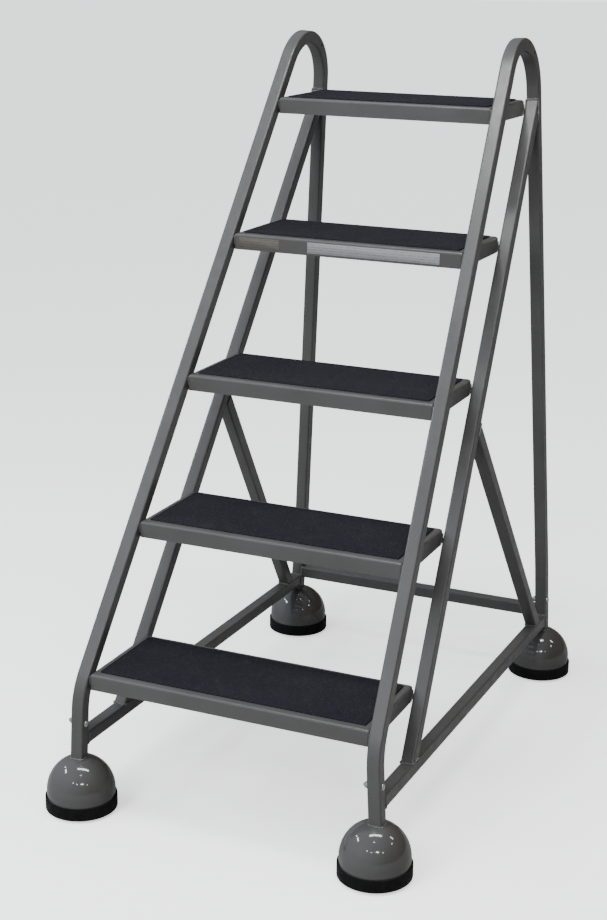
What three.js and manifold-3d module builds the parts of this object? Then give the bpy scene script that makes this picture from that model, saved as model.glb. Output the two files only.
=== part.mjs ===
// Rolling warehouse ladder. Five tread pans stand between two bent square-tube side frames that
// lean towards each other. Each of the four feet is a domed cover on a rubber ring, and hides a
// spring-loaded swivel caster: the empty ladder rolls, and under a climber's weight the casters
// sink into the domes until the rubber rings stand on the floor.
// Millimetres, +Z up. The floor is z = 0, the front faces -Y, and X = 0 is the plane of symmetry.

import * as THREE from "three";
import { mergeVertices } from "three/addons/utils/BufferGeometryUtils.js";
import Module from "manifold-3d";

const wasm = await Module();
wasm.setup();

// ---------------------------------------------------------------- driving dimensions

const GAP = 0.3; // left between two pieces that touch
const CLEAR = 60; // how far a cutting tool runs past what it cuts

// Square steel tube of every frame member.
const TUBE = 25.4;
const TUBE_WALL = 1.65;
const TUBE_CHAMFER = 2.2;

// Each side frame is flat, and leans inwards by this much per millimetre of height.
const LEAN = 0.057;
const LEAN_ANGLE = Math.atan(LEAN);
const HALF_WIDTH = 323.1; // outer face of a side frame, at the floor

// One side frame, in its own plane: y is depth, z is distance up the leaning plane.
const FOOT_Y = 502.05; // both legs, either side of the middle
const LEG_END_Z = 97; // the cut ends of the legs, inside the domes
const KNEE = { z: 243.2, radius: 117, steps: 4 }; // front leg into the raked rail
const PEAK = { y: 427.2, z: 1574.6, radius: 94.5, steps: 11 }; // corner that the hand loop rounds off
const REAR_KNEE = { z: 252.3, radius: 750, steps: 2 };
const LOOP_HOLE = { y: 408.6, z: 1371.2, radius: 3.5 };
const TREAD_RAIL_SETBACK = 225; // tread rail behind the raked front rail, measured level
const BASE_TUBE = { frontZ: 144.2, rearZ: 129.6 };
const BRACE = { topY: 39, topZ: 696.5, bottomY: 435.9, bottomZ: 137.1 };
const REAR_CROSS_TUBE_Z = 149.3;

// Treads: inverted sheet-metal pans with a rubber mat on top.
const TREADS = 5;
const RISE = 250;
const FIRST_TREAD_Z = 276.9;
const PAN = { depth: 216, height: 31, sheet: 2, corner: 4, cornerSteps: 3 };
const MAT = { thickness: 2.2, sideBorder: 13.4, frontBorder: 16.4, rearBorder: 13.7, corner: 2 };

// Feet.
const FOOT_X = 302.2; // dome centres and caster stems
const RING_LIFT = 5; // rubber ring above the floor while the caster carries the foot
const FOOT_SEGMENTS = 24;
const DOME = { radius: 65.4, sheet: 2, bottomZ: 13, springZ: 41, apexZ: 108.5, steps: 6 };
const RING = { radius: 68.6, lipRadius: 62.5, height: 25, edge: 1.5 };

// Casters.
const TURNED_SEGMENTS = 12;
const WHEEL = {
  radius: 25.4,
  segments: 20,
  bore: 4.5,
  hubRadius: 9,
  hubHalf: 10.6,
  fillet: 1,
  webHalf: 8,
  tyreHalf: 9.5,
  tyreHeight: 5,
  shoulder: 1.2,
  bevel: 2,
};
const CASTER_TRAIL = 20;
const FORK = { bottomZ: 55.7, topZ: 59.7, inner: 11.2, plate: 2.5, back: 13, front: 15, boss: 8 };
const AXLE = { radius: 4, headRadius: 7, head: 3 };
const STEM = { radius: 5, rivetRadius: 8, rivet: 3, raceRadius: 13, race: 5 };
const COLLAR = { radius: 7, height: 6.7, spigotRadius: 4, spigotTopZ: 150 };
const BUSH = { flange: 2.7, flangeSide: 25, side: 20.6, topZ: 117, boreRadius: 5.4 };
const SPRING = { radius: 5.6, wire: 0.9, turns: 8, stepsPerTurn: 10, sides: 4 };
const BOLT = {
  radius: 3,
  headRadius: 6.5,
  head: 3.6,
  headSteps: 3,
  threadEnd: 10.5,
  frontZ: 179.3,
  rearZ: 175.3,
};
const NUT = { acrossFlats: 11, height: 8 };

// ---------------------------------------------------------------- derived places

const HALF_TUBE = TUBE / 2;
const SIDE_PLANE_X = HALF_WIDTH - HALF_TUBE / Math.cos(LEAN_ANGLE); // middle of the tube, at the floor
const RAKE = (PEAK.y + FOOT_Y) / (PEAK.z - KNEE.z); // depth per height of the raked rails, in plane
const RAKE_ANGLE = Math.atan(RAKE);

const innerFaceX = (z) => HALF_WIDTH - TUBE / Math.cos(LEAN_ANGLE) - LEAN * z;
const frontRailY = (planeZ) => -FOOT_Y + RAKE * (planeZ - KNEE.z);
const treadRailY = (planeZ) => frontRailY(planeZ) + TREAD_RAIL_SETBACK;
const baseTubeZ = (y) =>
  THREE.MathUtils.mapLinear(y, -FOOT_Y, FOOT_Y, BASE_TUBE.frontZ, BASE_TUBE.rearZ);
const treadFrontY = (z) =>
  frontRailY(z / Math.cos(LEAN_ANGLE)) - HALF_TUBE / Math.cos(RAKE_ANGLE);

// ---------------------------------------------------------------- finishes

const FINISHES = {
  enamel: { color: 0x6c6e70, roughness: 0.42, metalness: 0.25 },
  dome_enamel: { color: 0x606263, roughness: 0.28, metalness: 0.3 },
  ring_rubber: { color: 0x151515, roughness: 0.75, metalness: 0 },
  mat_rubber: { color: 0x26262d, roughness: 0.9, metalness: 0 },
  zinc_steel: { color: 0xa9aba8, roughness: 0.35, metalness: 0.9 },
  spring_steel: { color: 0x77797a, roughness: 0.4, metalness: 0.9 },
  wheel_plastic: { color: 0x2b2c2e, roughness: 0.5, metalness: 0 },
  bush_plastic: { color: 0xd9d7cf, roughness: 0.5, metalness: 0 },
};

function part(name, geometry, finish) {
  const mesh = new THREE.Mesh(geometry, new THREE.MeshStandardMaterial(FINISHES[finish]));
  mesh.name = name;
  return mesh;
}

// ---------------------------------------------------------------- joining and cutting

function solidOf(geometry) {
  const bare = geometry.clone();
  bare.deleteAttribute("normal");
  bare.deleteAttribute("uv");
  const merged = mergeVertices(bare, 1e-4);
  return new wasm.Manifold(
    new wasm.Mesh({
      numProp: 3,
      vertProperties: merged.attributes.position.array,
      triVerts: new Uint32Array(merged.index.array),
    }),
  );
}

function geometryOf(solid) {
  const { vertProperties, triVerts } = solid.getMesh();
  const geometry = new THREE.BufferGeometry();
  geometry.setAttribute("position", new THREE.BufferAttribute(vertProperties, 3));
  geometry.setIndex(new THREE.BufferAttribute(triVerts, 1));
  geometry.computeVertexNormals();
  return geometry;
}

const cut = (geometry, ...tools) =>
  geometryOf(tools.reduce((solid, tool) => solid.subtract(solidOf(tool)), solidOf(geometry)));

const join = (geometry, ...others) =>
  geometryOf(others.reduce((solid, other) => solid.add(solidOf(other)), solidOf(geometry)));

// A block, longer than the ladder, that takes away everything on the far side of a plane.
function beyond(point, normal) {
  const size = 2 * PEAK.z;
  const block = new THREE.BoxGeometry(size, size, size).translate(0, 0, size / 2);
  const turn = new THREE.Quaternion().setFromUnitVectors(
    new THREE.Vector3(0, 0, 1),
    normal.clone().normalize(),
  );
  return block.applyQuaternion(turn).translate(point.x, point.y, point.z);
}

// A round bar along X, used as a drill.
const drillX = (y, z, radius, halfLength) =>
  new THREE.CylinderGeometry(radius, radius, 2 * halfLength, TURNED_SEGMENTS)
    .rotateZ(Math.PI / 2)
    .translate(0, y, z);

// A profile of [radius, height] pairs, turned about Z.
const turned = (profile, segments) =>
  new THREE.LatheGeometry(
    profile.map(([radius, height]) => new THREE.Vector2(radius, height)),
    segments,
  ).rotateX(Math.PI / 2);

// ---------------------------------------------------------------- tube

function tubeSection() {
  const h = HALF_TUBE;
  const c = h - TUBE_CHAMFER;
  const bore = h - TUBE_WALL;
  const section = new THREE.Shape([
    new THREE.Vector2(c, -h),
    new THREE.Vector2(h, -c),
    new THREE.Vector2(h, c),
    new THREE.Vector2(c, h),
    new THREE.Vector2(-c, h),
    new THREE.Vector2(-h, c),
    new THREE.Vector2(-h, -c),
    new THREE.Vector2(-c, -h),
  ]);
  section.holes.push(
    new THREE.Path([
      new THREE.Vector2(-bore, -bore),
      new THREE.Vector2(-bore, bore),
      new THREE.Vector2(bore, bore),
      new THREE.Vector2(bore, -bore),
    ]),
  );
  return section;
}

// A curve that passes through chosen stations, with the given direction at each.
class StationCurve extends THREE.Curve {
  constructor(stations) {
    super();
    this.stations = stations;
  }
  at(t) {
    return this.stations[Math.round(t * (this.stations.length - 1))];
  }
  getPoint(t, target = new THREE.Vector3()) {
    return target.copy(this.at(t).point);
  }
  getPointAt(u, target) {
    return this.getPoint(u, target);
  }
  getTangentAt(u, target = new THREE.Vector3()) {
    return target.copy(this.at(u).tangent);
  }
}

// Stations along straight lines through the corners, with every inner corner rounded off.
function roundedRun(corners) {
  const inPlane = (v) => new THREE.Vector3(0, v.x, v.y);
  const points = corners.map(({ y, z }) => new THREE.Vector2(y, z));
  const legs = points.slice(1).map((p, i) => p.clone().sub(points[i]).normalize());
  const origin = new THREE.Vector2();
  const stations = [{ point: inPlane(points[0]), tangent: inPlane(legs[0]) }];
  for (let i = 1; i < points.length - 1; i++) {
    const [before, after] = [legs[i - 1], legs[i]];
    const { radius, steps } = corners[i];
    const turn = Math.atan2(before.cross(after), before.dot(after));
    const tangentLength = radius * Math.tan(Math.abs(turn) / 2);
    const toCentre = before
      .clone()
      .rotateAround(origin, (Math.sign(turn) * Math.PI) / 2)
      .multiplyScalar(radius);
    const centre = points[i].clone().addScaledVector(before, -tangentLength).add(toCentre);
    for (let k = 0; k <= steps; k++) {
      const angle = (turn * k) / steps;
      const spoke = toCentre.clone().rotateAround(origin, angle);
      stations.push({
        point: inPlane(centre.clone().sub(spoke)),
        tangent: inPlane(before.clone().rotateAround(origin, angle)),
      });
    }
  }
  stations.push({ point: inPlane(points.at(-1)), tangent: inPlane(legs.at(-1)) });
  return stations;
}

const bentTube = (stations) =>
  new THREE.ExtrudeGeometry(tubeSection(), {
    steps: stations.length - 1,
    extrudePath: new StationCurve(stations),
  });

const straightTube = (from, to) =>
  new THREE.ExtrudeGeometry(tubeSection(), {
    steps: 1,
    extrudePath: new THREE.LineCurve3(from, to),
  });

// ---------------------------------------------------------------- side frames

const inSidePlane = (y, z) => new THREE.Vector3(0, y, z);

const REAR_LEG_SLOPE = (FOOT_Y - PEAK.y) / (PEAK.z - REAR_KNEE.z);
const REAR_LEG_FORWARD = new THREE.Vector3(0, -1, -REAR_LEG_SLOPE).normalize();
const BASE_TUBE_UP = new THREE.Vector3(
  0,
  (BASE_TUBE.frontZ - BASE_TUBE.rearZ) / (2 * FOOT_Y),
  1,
).normalize();
const RAIL_BACK = new THREE.Vector3(0, Math.cos(RAKE_ANGLE), -Math.sin(RAKE_ANGLE));

// Middle of the rear leg, on its long straight.
const rearLegPoint = inSidePlane(PEAK.y, PEAK.z);
const offTube = HALF_TUBE + GAP; // from a tube's middle to whatever touches its face

function sideFrame() {
  const run = roundedRun([
    { y: -FOOT_Y, z: LEG_END_Z },
    { y: -FOOT_Y, ...KNEE },
    PEAK,
    { y: FOOT_Y, ...REAR_KNEE },
    { y: FOOT_Y, z: LEG_END_Z },
  ]);
  return cut(
    bentTube(run),
    drillX(LOOP_HOLE.y, LOOP_HOLE.z, LOOP_HOLE.radius, TUBE),
    drillX(-FOOT_Y, BOLT.frontZ, BOLT.radius + GAP, TUBE),
    drillX(FOOT_Y, BOLT.rearZ, BOLT.radius + GAP, TUBE),
  );
}

function treadRail() {
  const belowBase = BASE_TUBE.rearZ;
  const abovePeak = PEAK.z;
  return cut(
    straightTube(
      inSidePlane(treadRailY(belowBase), belowBase),
      inSidePlane(treadRailY(abovePeak), abovePeak),
    ),
    beyond(
      inSidePlane(0, baseTubeZ(0)).addScaledVector(BASE_TUBE_UP, offTube),
      BASE_TUBE_UP.clone().negate(),
    ),
    beyond(
      rearLegPoint.clone().addScaledVector(REAR_LEG_FORWARD, offTube),
      REAR_LEG_FORWARD.clone().negate(),
    ),
  );
}

function baseTube() {
  const reach = FOOT_Y - offTube;
  return cut(
    straightTube(
      inSidePlane(-FOOT_Y, BASE_TUBE.frontZ),
      inSidePlane(FOOT_Y, BASE_TUBE.rearZ),
    ),
    beyond(inSidePlane(-reach, 0), new THREE.Vector3(0, -1, 0)),
    beyond(inSidePlane(reach, 0), new THREE.Vector3(0, 1, 0)),
  );
}

function brace() {
  const top = inSidePlane(BRACE.topY, BRACE.topZ);
  const bottom = inSidePlane(BRACE.bottomY, BRACE.bottomZ);
  const along = top.clone().sub(bottom).normalize();
  const railMiddle = inSidePlane(treadRailY(BRACE.topZ), BRACE.topZ);
  return cut(
    straightTube(bottom.addScaledVector(along, -CLEAR), top.addScaledVector(along, CLEAR)),
    beyond(
      inSidePlane(0, baseTubeZ(0)).addScaledVector(BASE_TUBE_UP, offTube),
      BASE_TUBE_UP.clone().negate(),
    ),
    beyond(railMiddle.addScaledVector(RAIL_BACK, offTube), RAIL_BACK.clone().negate()),
  );
}

// Where a side frame's own plane lies on the ladder. side is 1 at the right and -1 at the left.
const sideMatrix = (side) =>
  new THREE.Matrix4()
    .makeTranslation(side * SIDE_PLANE_X, 0, 0)
    .multiply(new THREE.Matrix4().makeRotationY(-side * LEAN_ANGLE));

function rearCrossTube() {
  const legs = [-1, 1].map((side) =>
    beyond(new THREE.Vector3(-side * offTube, 0, 0), new THREE.Vector3(side, 0, 0)).applyMatrix4(
      sideMatrix(side),
    ),
  );
  return cut(
    straightTube(
      new THREE.Vector3(-SIDE_PLANE_X, FOOT_Y, REAR_CROSS_TUBE_Z),
      new THREE.Vector3(SIDE_PLANE_X, FOOT_Y, REAR_CROSS_TUBE_Z),
    ),
    ...legs,
  );
}

// ---------------------------------------------------------------- treads

// A level plate with rounded corners, centred on X = 0, from y = 0 back to y = depth.
function roundedPlate(halfWidth, depth, corner, bottomZ, topZ) {
  const outline = new THREE.Shape();
  const quarter = Math.PI / 2;
  outline.absarc(halfWidth - corner, corner, corner, -quarter, 0);
  outline.absarc(halfWidth - corner, depth - corner, corner, 0, quarter);
  outline.absarc(-halfWidth + corner, depth - corner, corner, quarter, 2 * quarter);
  outline.absarc(-halfWidth + corner, corner, corner, 2 * quarter, 3 * quarter);
  outline.closePath();
  return new THREE.ExtrudeGeometry(outline, {
    depth: topZ - bottomZ,
    curveSegments: PAN.cornerSteps,
    bevelEnabled: false,
  }).translate(0, 0, bottomZ);
}

function treadPan(halfWidth) {
  const { depth, height, sheet, corner } = PAN;
  return cut(
    roundedPlate(halfWidth, depth, corner, -height, 0),
    roundedPlate(halfWidth - sheet, depth - 2 * sheet, corner - sheet, -height - CLEAR, -sheet)
      .translate(0, sheet, 0),
  );
}

function treadMat(halfWidth) {
  const depth = PAN.depth - MAT.frontBorder - MAT.rearBorder;
  return roundedPlate(halfWidth - MAT.sideBorder, depth, MAT.corner, GAP, GAP + MAT.thickness)
    .translate(0, MAT.frontBorder, 0);
}

// ---------------------------------------------------------------- feet

// A quarter of an ellipse from the dome's straight wall up to its top, as [radius, height] pairs.
function domeCurve(radius, apexZ) {
  const pairs = [];
  for (let k = 0; k <= DOME.steps; k++) {
    const angle = (Math.PI / 2) * (k / DOME.steps);
    pairs.push([
      k === DOME.steps ? 0 : radius * Math.cos(angle),
      DOME.springZ + (apexZ - DOME.springZ) * Math.sin(angle),
    ]);
  }
  return pairs;
}

function dome(side) {
  const inner = DOME.radius - DOME.sheet;
  const shell = turned(
    [
      ...domeCurve(inner, DOME.apexZ - DOME.sheet).reverse(),
      [inner, DOME.bottomZ],
      [DOME.radius, DOME.bottomZ],
      ...domeCurve(DOME.radius, DOME.apexZ),
    ],
    FOOT_SEGMENTS,
  );
  const legHole = new THREE.BoxGeometry(2 * offTube, 2 * offTube, CLEAR)
    .translate(0, 0, DOME.apexZ)
    .applyMatrix4(sideMatrix(side))
    .translate(-side * FOOT_X, 0, 0);
  return cut(shell, legHole);
}

function bumperRing() {
  const { radius, lipRadius, height, edge } = RING;
  const seat = DOME.radius + GAP;
  const ledge = DOME.bottomZ - GAP;
  const bottom = RING_LIFT;
  const top = RING_LIFT + height;
  return turned(
    [
      [lipRadius, bottom],
      [radius - edge, bottom],
      [radius, bottom + edge],
      [radius, top - edge],
      [radius - edge, top],
      [seat, top],
      [seat, ledge],
      [lipRadius, ledge],
      [lipRadius, bottom],
    ],
    FOOT_SEGMENTS,
  );
}

// ---------------------------------------------------------------- casters

// A square block with a round bore, from bottomZ to topZ. The bore is off centre by boreX.
function boredBlock(side, boreX, boreRadius, bottomZ, topZ) {
  const h = side / 2;
  const outline = new THREE.Shape([
    new THREE.Vector2(-h, -h),
    new THREE.Vector2(h, -h),
    new THREE.Vector2(h, h),
    new THREE.Vector2(-h, h),
  ]);
  outline.holes.push(new THREE.Path().absarc(boreX, 0, boreRadius, 0, 2 * Math.PI, true));
  return new THREE.ExtrudeGeometry(outline, {
    depth: topZ - bottomZ,
    curveSegments: TURNED_SEGMENTS,
    bevelEnabled: false,
  }).translate(0, 0, bottomZ);
}

// The bush fills the leg's cut end, which stands a little to the outside of the upright stem.
const legOffsetX = (z) => SIDE_PLANE_X - LEAN * z - FOOT_X;
const legEndLowestZ = LEG_END_Z * Math.cos(LEAN_ANGLE) - HALF_TUBE * Math.sin(LEAN_ANGLE);

function guideBush(side) {
  const offset = side * legOffsetX((LEG_END_Z + BUSH.topZ) / 2);
  const seat = legEndLowestZ - GAP;
  return join(
    boredBlock(BUSH.flangeSide, -offset, BUSH.boreRadius, seat - BUSH.flange, seat),
    boredBlock(BUSH.side, -offset, BUSH.boreRadius, seat - BUSH.flange, BUSH.topZ),
  ).translate(offset, 0, 0);
}

function casterStem() {
  const crownTop = FORK.topZ + GAP;
  const crownBottom = FORK.bottomZ - GAP;
  const raceTop = crownTop + STEM.race;
  const collarZ = BUSH.topZ + GAP;
  const collarTop = collarZ + COLLAR.height;
  return turned(
    [
      [0, crownBottom - STEM.rivet],
      [STEM.rivetRadius, crownBottom - STEM.rivet],
      [STEM.rivetRadius, crownBottom],
      [STEM.radius, crownBottom],
      [STEM.radius, crownTop],
      [STEM.raceRadius, crownTop],
      [STEM.raceRadius, raceTop],
      [STEM.radius, raceTop],
      [STEM.radius, collarZ],
      [COLLAR.radius, collarZ],
      [COLLAR.radius, collarTop],
      [COLLAR.spigotRadius, collarTop],
      [COLLAR.spigotRadius, COLLAR.spigotTopZ],
      [0, COLLAR.spigotTopZ],
    ],
    TURNED_SEGMENTS,
  );
}

class Helix extends THREE.Curve {
  constructor(radius, turns, bottomZ, topZ) {
    super();
    Object.assign(this, { radius, turns, bottomZ, topZ });
  }
  getPoint(t, target = new THREE.Vector3()) {
    const angle = 2 * Math.PI * this.turns * t;
    return target.set(
      this.radius * Math.cos(angle),
      this.radius * Math.sin(angle),
      THREE.MathUtils.lerp(this.bottomZ, this.topZ, t),
    );
  }
}

// The coil spring stands on the stem's collar and pushes against the retaining bolt.
function casterSpring(boltZ) {
  const lowest = BUSH.topZ + COLLAR.height + 2 * GAP + SPRING.wire;
  const highest = boltZ - BOLT.radius - GAP - SPRING.wire;
  const wire = new THREE.Shape(
    Array.from({ length: SPRING.sides }, (_, k) => {
      const angle = (2 * Math.PI * k) / SPRING.sides;
      return new THREE.Vector2(SPRING.wire * Math.cos(angle), SPRING.wire * Math.sin(angle));
    }),
  );
  return new THREE.ExtrudeGeometry(wire, {
    steps: SPRING.turns * SPRING.stepsPerTurn,
    extrudePath: new Helix(SPRING.radius, SPRING.turns, lowest, highest),
  });
}

const axleHeight = WHEEL.radius;

// One cheek of the fork: a plate that narrows from the crown to a round boss about the axle.
function forkCheek(innerX) {
  const outline = new THREE.Shape();
  outline.moveTo(-FORK.back, FORK.topZ);
  outline.lineTo(-FORK.back, FORK.bottomZ - FORK.boss);
  outline.lineTo(CASTER_TRAIL - FORK.boss, axleHeight);
  outline.absarc(CASTER_TRAIL, axleHeight, FORK.boss, Math.PI, 2 * Math.PI);
  outline.lineTo(FORK.front, FORK.topZ);
  outline.closePath();
  const axleHole = new THREE.Path();
  axleHole.absarc(CASTER_TRAIL, axleHeight, AXLE.radius + GAP, 0, 2 * Math.PI, true);
  outline.holes.push(axleHole);
  return new THREE.ExtrudeGeometry(outline, {
    depth: FORK.plate,
    curveSegments: TURNED_SEGMENTS / 2,
    bevelEnabled: false,
  })
    .rotateX(Math.PI / 2)
    .rotateZ(Math.PI / 2)
    .translate(innerX, 0, 0);
}

function casterFork() {
  const outer = FORK.inner + FORK.plate;
  const crown = new THREE.BoxGeometry(
    2 * outer,
    FORK.back + FORK.front,
    FORK.topZ - FORK.bottomZ,
  ).translate(0, (FORK.front - FORK.back) / 2, (FORK.topZ + FORK.bottomZ) / 2);
  const stemHole = new THREE.CylinderGeometry(
    BUSH.boreRadius,
    BUSH.boreRadius,
    CLEAR,
    TURNED_SEGMENTS,
  )
    .rotateX(Math.PI / 2)
    .translate(0, 0, FORK.topZ);
  return cut(join(crown, forkCheek(FORK.inner), forkCheek(-outer)), stemHole);
}

function casterAxle() {
  const seat = FORK.inner + FORK.plate + GAP;
  const end = seat + AXLE.head;
  return turned(
    [
      [0, -end],
      [AXLE.headRadius, -end],
      [AXLE.headRadius, -seat],
      [AXLE.radius, -seat],
      [AXLE.radius, seat],
      [AXLE.headRadius, seat],
      [AXLE.headRadius, end],
      [0, end],
    ],
    TURNED_SEGMENTS,
  ).rotateY(Math.PI / 2);
}

function casterWheel() {
  const { bore, hubRadius, hubHalf, fillet, webHalf, tyreHalf, tyreHeight, shoulder, bevel } = WHEEL;
  const { segments } = WHEEL;
  const rim = WHEEL.radius / Math.cos(Math.PI / segments); // the flats lie at the true radius
  const half = [
    [bore, hubHalf],
    [hubRadius, hubHalf],
    [hubRadius + fillet, webHalf],
    [rim - tyreHeight, webHalf],
    [rim - tyreHeight + fillet, tyreHalf],
    [rim - shoulder, tyreHalf],
    [rim, tyreHalf - bevel],
  ];
  const mirrored = half.map(([radius, x]) => [radius, -x]);
  return turned([...mirrored, ...half.reverse(), mirrored[0]], segments)
    .rotateZ(Math.PI / segments)
    .rotateY(Math.PI / 2);
}

// The bolt crosses the leg, its low domed head on the ladder's right and its lock nut on the left.
function retainingBolt() {
  const { radius, headRadius, head, headSteps, threadEnd } = BOLT;
  const threadTip = -HALF_TUBE - threadEnd;
  const profile = [
    [0, threadTip],
    [radius, threadTip],
    [radius, offTube],
  ];
  for (let k = 0; k < headSteps; k++) {
    const angle = (Math.PI / 2) * (k / headSteps);
    profile.push([headRadius * Math.cos(angle), offTube + head * Math.sin(angle)]);
  }
  profile.push([0, offTube + head]);
  return turned(profile, TURNED_SEGMENTS).rotateY(Math.PI / 2);
}

function retainingNut() {
  const corner = NUT.acrossFlats / 2 / Math.cos(Math.PI / 6);
  const outline = new THREE.Shape(
    Array.from({ length: 6 }, (_, k) => {
      const angle = (Math.PI / 3) * k;
      return new THREE.Vector2(corner * Math.cos(angle), corner * Math.sin(angle));
    }),
  );
  outline.holes.push(
    new THREE.Path().absarc(0, 0, BOLT.radius + GAP, 0, 2 * Math.PI, true),
  );
  return new THREE.ExtrudeGeometry(outline, {
    depth: NUT.height,
    curveSegments: TURNED_SEGMENTS,
    bevelEnabled: false,
  })
    .rotateY(-Math.PI / 2)
    .translate(-offTube, 0, 0);
}

// ---------------------------------------------------------------- assembly

const ladder = new THREE.Group();

for (const [sideName, side] of [["left", -1], ["right", 1]]) {
  const sideGroup = new THREE.Group();
  sideGroup.applyMatrix4(sideMatrix(side));
  sideGroup.add(
    part(`side_frame_${sideName}`, sideFrame(), "enamel"),
    part(`tread_rail_${sideName}`, treadRail(), "enamel"),
    part(`base_tube_${sideName}`, baseTube(), "enamel"),
    part(`brace_${sideName}`, brace(), "enamel"),
  );
  ladder.add(sideGroup);

  for (const [endName, end, boltZ] of [["front", -1, BOLT.frontZ], ["rear", 1, BOLT.rearZ]]) {
    const corner = `${endName}_${sideName}`;

    // Pieces on the leaning leg.
    const fasteners = new THREE.Group();
    fasteners.position.set(0, end * FOOT_Y, boltZ);
    fasteners.add(
      part(`retaining_bolt_${corner}`, retainingBolt(), "zinc_steel"),
      part(`retaining_nut_${corner}`, retainingNut(), "zinc_steel"),
    );
    sideGroup.add(fasteners);

    // Upright pieces under the leg.
    const foot = new THREE.Group();
    foot.position.set(side * FOOT_X, end * FOOT_Y, 0);
    foot.add(
      part(`dome_${corner}`, dome(side), "dome_enamel"),
      part(`bumper_ring_${corner}`, bumperRing(), "ring_rubber"),
      part(`guide_bush_${corner}`, guideBush(side), "bush_plastic"),
      part(`caster_stem_${corner}`, casterStem(), "zinc_steel"),
      part(`caster_spring_${corner}`, casterSpring(boltZ * Math.cos(LEAN_ANGLE)), "spring_steel"),
    );

    // The fork trails towards the nearer end of the ladder.
    const caster = new THREE.Group();
    caster.rotation.z = end > 0 ? 0 : Math.PI;
    const axle = part(`caster_axle_${corner}`, casterAxle(), "zinc_steel");
    const wheel = part(`caster_wheel_${corner}`, casterWheel(), "wheel_plastic");
    axle.position.set(0, CASTER_TRAIL, axleHeight);
    wheel.position.copy(axle.position);
    caster.add(part(`caster_fork_${corner}`, casterFork(), "zinc_steel"), axle, wheel);
    foot.add(caster);
    ladder.add(foot);
  }
}

ladder.add(part("rear_cross_tube", rearCrossTube(), "enamel"));

for (let i = 0; i < TREADS; i++) {
  const topZ = FIRST_TREAD_Z + i * RISE;
  const halfWidth = innerFaceX(topZ) - GAP;
  const tread = new THREE.Group();
  tread.position.set(0, treadFrontY(topZ), topZ);
  tread.add(
    part(`tread_pan_${i + 1}`, treadPan(halfWidth), "enamel"),
    part(`tread_mat_${i + 1}`, treadMat(halfWidth), "mat_rubber"),
  );
  ladder.add(tread);
}

export default ladder;
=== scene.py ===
"""The rolling warehouse ladder's looks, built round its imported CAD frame. Metres, +Z up, front at -Y."""

import math
import random

import bmesh
import bpy
from mathutils import Matrix, Vector


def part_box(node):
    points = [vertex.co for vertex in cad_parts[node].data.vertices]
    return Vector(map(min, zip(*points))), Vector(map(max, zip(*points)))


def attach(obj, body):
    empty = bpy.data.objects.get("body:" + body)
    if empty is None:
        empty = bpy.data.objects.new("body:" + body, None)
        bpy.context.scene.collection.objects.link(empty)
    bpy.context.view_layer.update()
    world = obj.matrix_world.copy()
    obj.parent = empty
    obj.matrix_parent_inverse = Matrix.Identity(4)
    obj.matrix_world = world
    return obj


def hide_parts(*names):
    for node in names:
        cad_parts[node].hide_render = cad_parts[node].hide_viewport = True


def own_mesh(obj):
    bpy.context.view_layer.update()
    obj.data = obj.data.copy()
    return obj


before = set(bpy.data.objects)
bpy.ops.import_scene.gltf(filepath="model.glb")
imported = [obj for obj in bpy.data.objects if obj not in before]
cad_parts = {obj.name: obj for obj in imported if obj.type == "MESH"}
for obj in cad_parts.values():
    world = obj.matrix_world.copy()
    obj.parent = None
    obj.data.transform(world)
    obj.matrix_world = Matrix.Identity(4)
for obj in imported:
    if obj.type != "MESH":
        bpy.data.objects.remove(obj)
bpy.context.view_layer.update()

MM = 0.001
X_AXIS = Vector((1, 0, 0))
Z_AXIS = Vector((0, 0, 1))
SIDES = (("left", -1), ("right", 1))
ENDS = (("front", -1), ("rear", 1))
CORNERS = [(f"{end}_{side}", e, s) for side, s in SIDES for end, e in ENDS]
TREADS = 5

# ---------------------------------------------------------------- sizes, in metres

TUBE = 25.4 * MM
HALF = TUBE / 2
TUBE_ROUND = 3.2 * MM
LEAN = 0.057  # each side frame leans inwards by this much per metre of height
LEAN_ANGLE = math.atan(LEAN)
SIDE_PLANE_X = 0.3231 - HALF / math.cos(LEAN_ANGLE)

# One side frame in its own plane: (depth, distance up the plane).
FOOT_Y = 0.50205
LEG_END_Z = 0.097
KNEE_Z, KNEE_RADIUS = 0.2432, 0.117
PEAK_Y, PEAK_Z, PEAK_RADIUS = 0.4272, 1.5746, 0.0945
REAR_KNEE_Z, REAR_KNEE_RADIUS = 0.2523, 0.75
LOOP_HOLE = (0.4086, 1.3712)
LOOP_HOLE_RADIUS = 3.5 * MM
TREAD_RAIL_SETBACK = 0.225
BASE_FRONT_Z, BASE_REAR_Z = 0.1442, 0.1296
BRACE_TOP = (0.039, 0.6965)
BRACE_BOTTOM = (0.4359, 0.1371)
CROSS_Z = 0.1493
BOLT_Z = {-1: 0.1793, 1: 0.1753}
RAKE = (PEAK_Y + FOOT_Y) / (PEAK_Z - KNEE_Z)
RAKE_ANGLE = math.atan(RAKE)
REAR_SLOPE = (FOOT_Y - PEAK_Y) / (PEAK_Z - REAR_KNEE_Z)

GAP = 0.3 * MM
FOOT_X = 0.3022
WHEEL_RADIUS = 25.4 * MM
TRAIL = 20 * MM


def plane_point(y, z):
    """A point of the side frame's own plane."""
    return Vector((0, y, z))


def side_matrix(side):
    """Where the side frame's own plane lies on the ladder."""
    return Matrix.Translation((side * SIDE_PLANE_X, 0, 0)) @ Matrix.Rotation(-side * LEAN_ANGLE, 4, "Y")


def tread_rail_y(z):
    return -FOOT_Y + RAKE * (z - KNEE_Z) + TREAD_RAIL_SETBACK


def base_tube_z(y):
    share = (y + FOOT_Y) / (2 * FOOT_Y)
    return BASE_FRONT_Z + (BASE_REAR_Z - BASE_FRONT_Z) * share


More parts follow.
